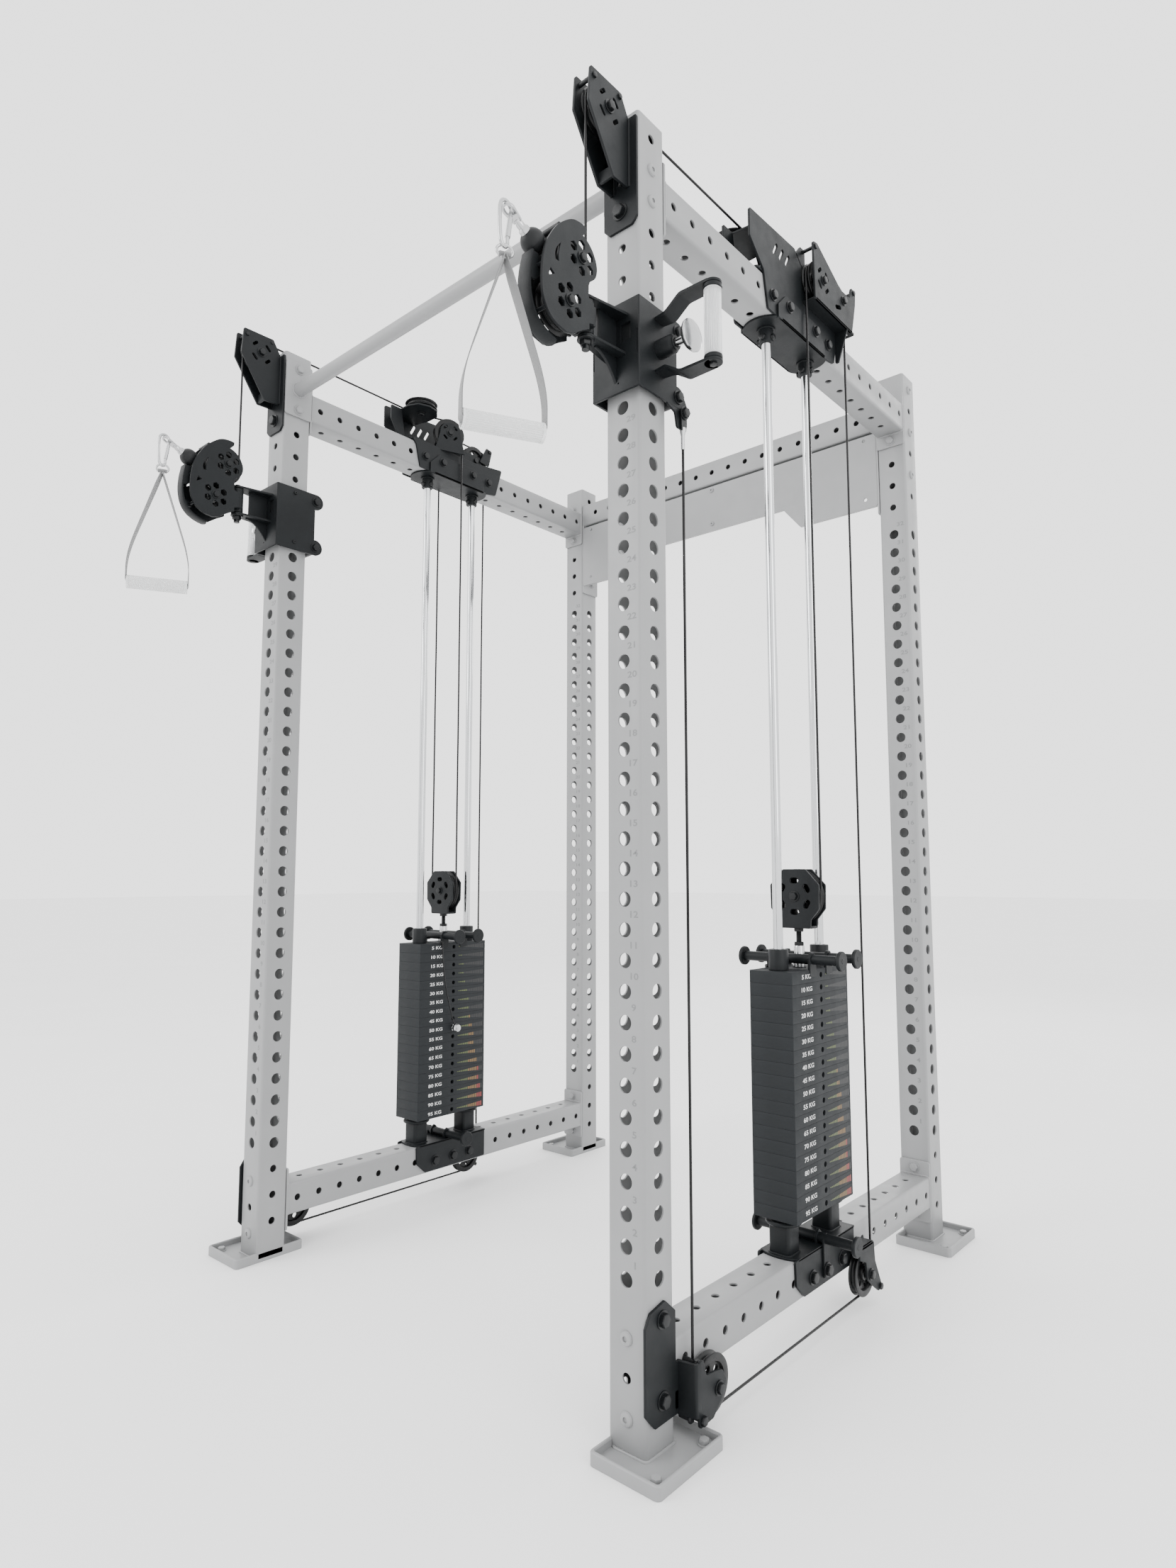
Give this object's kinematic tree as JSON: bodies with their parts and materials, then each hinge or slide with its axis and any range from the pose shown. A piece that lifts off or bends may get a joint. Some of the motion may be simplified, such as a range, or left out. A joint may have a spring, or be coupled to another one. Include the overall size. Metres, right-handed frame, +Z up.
{
  "type": "cable crossover machine",
  "caption": "Four-post rack with a weight stack, sliding swivel pulley carriage and strap handle on a cable on each side.",
  "frame": {"origin": "on the floor, at the bottom centre of the part's overall box; the rack's own mid plane is x = 0", "axes": "+X to the user's right, +Y from the handles to the back of the rack, +Z up"},
  "size_m": [1.514, 1.63, 2.316],
  "materials": {
    "frame_paint": "satin powder coat, light grey",
    "bracket_paint": "matt powder coat, dark grey",
    "weight_paint": "matt powder coat, charcoal",
    "pulley_plastic": "moulded nylon, black",
    "cable_sheath": "black sheath",
    "rod_chrome": "polished",
    "pin_steel": "satin",
    "ball_rubber": "moulded",
    "strap_web": "woven webbing, grey"
  },
  "bodies": {
    "rack": {"pull_up_bar": "frame_paint", "rear_cross_member": "frame_paint", "upright_front_R": "frame_paint", "upright_rear_R": "frame_paint", "side_beam_top_R": "frame_paint", "side_beam_low_R": "frame_paint", "top_front_bracket_R": "bracket_paint", "top_mid_bracket_R": "bracket_paint", "guide_rod_front_R": "rod_chrome", "guide_rod_rear_R": "rod_chrome", "base_bracket_R": "bracket_paint", "floor_bracket_R": "bracket_paint", "weights_resting_R": "weight_paint", "cable_R": "cable_sheath", "upright_front_L": "frame_paint", "upright_rear_L": "frame_paint", "side_beam_top_L": "frame_paint", "side_beam_low_L": "frame_paint", "top_front_bracket_L": "bracket_paint", "top_mid_bracket_L": "bracket_paint", "guide_rod_front_L": "rod_chrome", "guide_rod_rear_L": "rod_chrome", "base_bracket_L": "bracket_paint", "floor_bracket_L": "bracket_paint", "weights_resting_L": "weight_paint", "cable_L": "cable_sheath"},
    "carriage_R": {"carriage_R": "bracket_paint"},
    "pull_pin_R": {"pull_pin_R": "pin_steel"},
    "swivel_head_R": {"arm_head_R": "bracket_paint"},
    "upper_arm_pulley_R": {"arm_pulley_upper_R": "pulley_plastic"},
    "lower_arm_pulley_R": {"arm_pulley_lower_R": "pulley_plastic"},
    "cable_stop_R": {"cable_end_R": "ball_rubber"},
    "handle_R": {"strap_handle_R": "strap_web"},
    "lifted_weights_R": {"weights_lifted_R": "weight_paint"},
    "lift_pulley_R": {"lift_pulley_R": "pulley_plastic"},
    "selector_pin_R": {"selector_pin_R": "pin_steel"},
    "front_top_pulley_R": {"top_front_pulley_R": "pulley_plastic"},
    "turn_pulley_R": {"turn_pulley_R": "pulley_plastic"},
    "drop_pulley_R": {"drop_pulley_R": "pulley_plastic"},
    "over_pulley_front_R": {"over_pulley_front_R": "pulley_plastic"},
    "over_pulley_rear_R": {"over_pulley_rear_R": "pulley_plastic"},
    "base_pulley_R": {"base_pulley_R": "pulley_plastic"},
    "floor_pulley_R": {"floor_pulley_R": "pulley_plastic"},
    "carriage_L": {"carriage_L": "bracket_paint"},
    "pull_pin_L": {"pull_pin_L": "pin_steel"},
    "swivel_head_L": {"arm_head_L": "bracket_paint"},
    "upper_arm_pulley_L": {"arm_pulley_upper_L": "pulley_plastic"},
    "lower_arm_pulley_L": {"arm_pulley_lower_L": "pulley_plastic"},
    "cable_stop_L": {"cable_end_L": "ball_rubber"},
    "handle_L": {"strap_handle_L": "strap_web"},
    "lifted_weights_L": {"weights_lifted_L": "weight_paint"},
    "lift_pulley_L": {"lift_pulley_L": "pulley_plastic"},
    "selector_pin_L": {"selector_pin_L": "pin_steel"},
    "front_top_pulley_L": {"top_front_pulley_L": "pulley_plastic"},
    "turn_pulley_L": {"turn_pulley_L": "pulley_plastic"},
    "drop_pulley_L": {"drop_pulley_L": "pulley_plastic"},
    "over_pulley_front_L": {"over_pulley_front_L": "pulley_plastic"},
    "over_pulley_rear_L": {"over_pulley_rear_L": "pulley_plastic"},
    "base_pulley_L": {"base_pulley_L": "pulley_plastic"},
    "floor_pulley_L": {"floor_pulley_L": "pulley_plastic"}
  },
  "joints": [
    {"name": "stack_lift_R", "type": "slide", "parent": "rack", "child": "lifted_weights_R", "axis": [0, 0, 1], "range_m": [0, 0.85], "deforming": ["cable_R"]},
    {"name": "lift_pulley_spin_R", "type": "hinge", "parent": "lifted_weights_R", "child": "lift_pulley_R", "pos_m": [0.5775, 0.12003, 0.864], "axis": [0, 1, 0], "continuous": true},
    {"name": "selector_pin_slide_R", "type": "slide", "parent": "lifted_weights_R", "child": "selector_pin_R", "axis": [-1, 0, 0], "range_m": [0, 0.075]},
    {"name": "carriage_slide_R", "type": "slide", "parent": "rack", "child": "carriage_R", "axis": [0, 0, 1], "range_m": [-1.4, 0.1], "deforming": ["cable_R"]},
    {"name": "pull_pin_R", "type": "slide", "parent": "carriage_R", "child": "pull_pin_R", "axis": [1, 0, 0], "range_m": [0, 0.02], "stiffness_N_per_m": 900, "springref_m": -0.004},
    {"name": "arm_swivel_R", "type": "hinge", "parent": "carriage_R", "child": "swivel_head_R", "pos_m": [0.5775, -0.56297, 1.835], "axis": [0, 0, 1], "range_deg": [-90, 90], "deforming": ["cable_R"]},
    {"name": "upper_arm_pulley_spin_R", "type": "hinge", "parent": "swivel_head_R", "child": "upper_arm_pulley_R", "pos_m": [0.5775, -0.60297, 1.91], "axis": [1, 0, 0], "continuous": true},
    {"name": "lower_arm_pulley_spin_R", "type": "hinge", "parent": "swivel_head_R", "child": "lower_arm_pulley_R", "pos_m": [0.5775, -0.63197, 1.823], "axis": [1, 0, 0], "continuous": true},
    {"name": "handle_pull_R", "type": "slide", "parent": "swivel_head_R", "child": "cable_stop_R", "axis": [0, -1, 0], "range_m": [0, 1.7], "deforming": ["cable_R"]},
    {"name": "handle_swing_R", "type": "hinge", "parent": "cable_stop_R", "child": "handle_R", "pos_m": [0.5775, -0.74988, 1.93162], "axis": [1, 0, 0], "range_deg": [-80, 6]},
    {"name": "front_top_pulley_spin_R", "type": "hinge", "parent": "rack", "child": "front_top_pulley_R", "pos_m": [0.5775, -0.52297, 2.236], "axis": [1, 0, 0], "continuous": true},
    {"name": "turn_pulley_spin_R", "type": "hinge", "parent": "rack", "child": "turn_pulley_R", "pos_m": [0.5345, -0.02897, 2.276], "axis": [0, 0, 1], "continuous": true},
    {"name": "drop_pulley_spin_R", "type": "hinge", "parent": "rack", "child": "drop_pulley_R", "pos_m": [0.53924, 0.07982, 2.233], "axis": [0.9351, 0.3545, 0], "continuous": true},
    {"name": "over_pulley_front_spin_R", "type": "hinge", "parent": "rack", "child": "over_pulley_front_R", "pos_m": [0.631, 0.16303, 2.24], "axis": [1, 0, 0], "continuous": true},
    {"name": "over_pulley_rear_spin_R", "type": "hinge", "parent": "rack", "child": "over_pulley_rear_R", "pos_m": [0.631, 0.26203, 2.24], "axis": [1, 0, 0], "continuous": true},
    {"name": "base_pulley_spin_R", "type": "hinge", "parent": "rack", "child": "base_pulley_R", "pos_m": [0.631, 0.26103, 0.074], "axis": [1, 0, 0], "continuous": true},
    {"name": "floor_pulley_spin_R", "type": "hinge", "parent": "rack", "child": "floor_pulley_R", "pos_m": [0.631, -0.31697, 0.074], "axis": [1, 0, 0], "continuous": true},
    {"name": "stack_lift_L", "type": "slide", "parent": "rack", "child": "lifted_weights_L", "axis": [0, 0, 1], "range_m": [0, 0.85], "deforming": ["cable_L"]},
    {"name": "lift_pulley_spin_L", "type": "hinge", "parent": "lifted_weights_L", "child": "lift_pulley_L", "pos_m": [-0.5775, 0.12003, 0.864], "axis": [0, 1, 0], "continuous": true},
    {"name": "selector_pin_slide_L", "type": "slide", "parent": "lifted_weights_L", "child": "selector_pin_L", "axis": [1, 0, 0], "range_m": [0, 0.075]},
    {"name": "carriage_slide_L", "type": "slide", "parent": "rack", "child": "carriage_L", "axis": [0, 0, 1], "range_m": [-1.4, 0.1], "deforming": ["cable_L"]},
    {"name": "pull_pin_L", "type": "slide", "parent": "carriage_L", "child": "pull_pin_L", "axis": [-1, 0, 0], "range_m": [0, 0.02], "stiffness_N_per_m": 900, "springref_m": -0.004},
    {"name": "arm_swivel_L", "type": "hinge", "parent": "carriage_L", "child": "swivel_head_L", "pos_m": [-0.5775, -0.56297, 1.835], "axis": [0, 0, 1], "range_deg": [-90, 90], "deforming": ["cable_L"]},
    {"name": "upper_arm_pulley_spin_L", "type": "hinge", "parent": "swivel_head_L", "child": "upper_arm_pulley_L", "pos_m": [-0.5775, -0.60297, 1.91], "axis": [1, 0, 0], "continuous": true},
    {"name": "lower_arm_pulley_spin_L", "type": "hinge", "parent": "swivel_head_L", "child": "lower_arm_pulley_L", "pos_m": [-0.5775, -0.63197, 1.823], "axis": [1, 0, 0], "continuous": true},
    {"name": "handle_pull_L", "type": "slide", "parent": "swivel_head_L", "child": "cable_stop_L", "axis": [0, -1, 0], "range_m": [0, 1.7], "deforming": ["cable_L"]},
    {"name": "handle_swing_L", "type": "hinge", "parent": "cable_stop_L", "child": "handle_L", "pos_m": [-0.5775, -0.74988, 1.93162], "axis": [1, 0, 0], "range_deg": [-80, 6]},
    {"name": "front_top_pulley_spin_L", "type": "hinge", "parent": "rack", "child": "front_top_pulley_L", "pos_m": [-0.5775, -0.52297, 2.236], "axis": [1, 0, 0], "continuous": true},
    {"name": "turn_pulley_spin_L", "type": "hinge", "parent": "rack", "child": "turn_pulley_L", "pos_m": [-0.5345, -0.02897, 2.276], "axis": [0, 0, 1], "continuous": true},
    {"name": "drop_pulley_spin_L", "type": "hinge", "parent": "rack", "child": "drop_pulley_L", "pos_m": [-0.53924, 0.07982, 2.233], "axis": [0.9351, -0.3545, 0], "continuous": true},
    {"name": "over_pulley_front_spin_L", "type": "hinge", "parent": "rack", "child": "over_pulley_front_L", "pos_m": [-0.631, 0.16303, 2.24], "axis": [1, 0, 0], "continuous": true},
    {"name": "over_pulley_rear_spin_L", "type": "hinge", "parent": "rack", "child": "over_pulley_rear_L", "pos_m": [-0.631, 0.26203, 2.24], "axis": [1, 0, 0], "continuous": true},
    {"name": "base_pulley_spin_L", "type": "hinge", "parent": "rack", "child": "base_pulley_L", "pos_m": [-0.631, 0.26103, 0.074], "axis": [1, 0, 0], "continuous": true},
    {"name": "floor_pulley_spin_L", "type": "hinge", "parent": "rack", "child": "floor_pulley_L", "pos_m": [-0.631, -0.31697, 0.074], "axis": [1, 0, 0], "continuous": true}
  ],
  "couplings": [
    {"joint": "handle_pull_R", "follows": "stack_lift_R", "ratio": 2},
    {"joint": "upper_arm_pulley_spin_R", "follows": "stack_lift_R", "rad_per_m": -50},
    {"joint": "front_top_pulley_spin_R", "follows": "stack_lift_R", "rad_per_m": 50},
    {"joint": "turn_pulley_spin_R", "follows": "stack_lift_R", "rad_per_m": -46.512},
    {"joint": "drop_pulley_spin_R", "follows": "stack_lift_R", "rad_per_m": 46.512},
    {"joint": "lift_pulley_spin_R", "follows": "stack_lift_R", "rad_per_m": 18.692},
    {"joint": "over_pulley_front_spin_R", "follows": "carriage_slide_R", "rad_per_m": -23.256},
    {"joint": "over_pulley_rear_spin_R", "follows": "carriage_slide_R", "rad_per_m": -23.256},
    {"joint": "base_pulley_spin_R", "follows": "carriage_slide_R", "rad_per_m": -22.727},
    {"joint": "floor_pulley_spin_R", "follows": "carriage_slide_R", "rad_per_m": -22.727},
    {"joint": "handle_pull_L", "follows": "stack_lift_L", "ratio": 2},
    {"joint": "upper_arm_pulley_spin_L", "follows": "stack_lift_L", "rad_per_m": -50},
    {"joint": "front_top_pulley_spin_L", "follows": "stack_lift_L", "rad_per_m": 50},
    {"joint": "turn_pulley_spin_L", "follows": "stack_lift_L", "rad_per_m": 46.512},
    {"joint": "drop_pulley_spin_L", "follows": "stack_lift_L", "rad_per_m": 46.512},
    {"joint": "lift_pulley_spin_L", "follows": "stack_lift_L", "rad_per_m": -18.692},
    {"joint": "over_pulley_front_spin_L", "follows": "carriage_slide_L", "rad_per_m": -23.256},
    {"joint": "over_pulley_rear_spin_L", "follows": "carriage_slide_L", "rad_per_m": -23.256},
    {"joint": "base_pulley_spin_L", "follows": "carriage_slide_L", "rad_per_m": -22.727},
    {"joint": "floor_pulley_spin_L", "follows": "carriage_slide_L", "rad_per_m": -22.727}
  ]
}
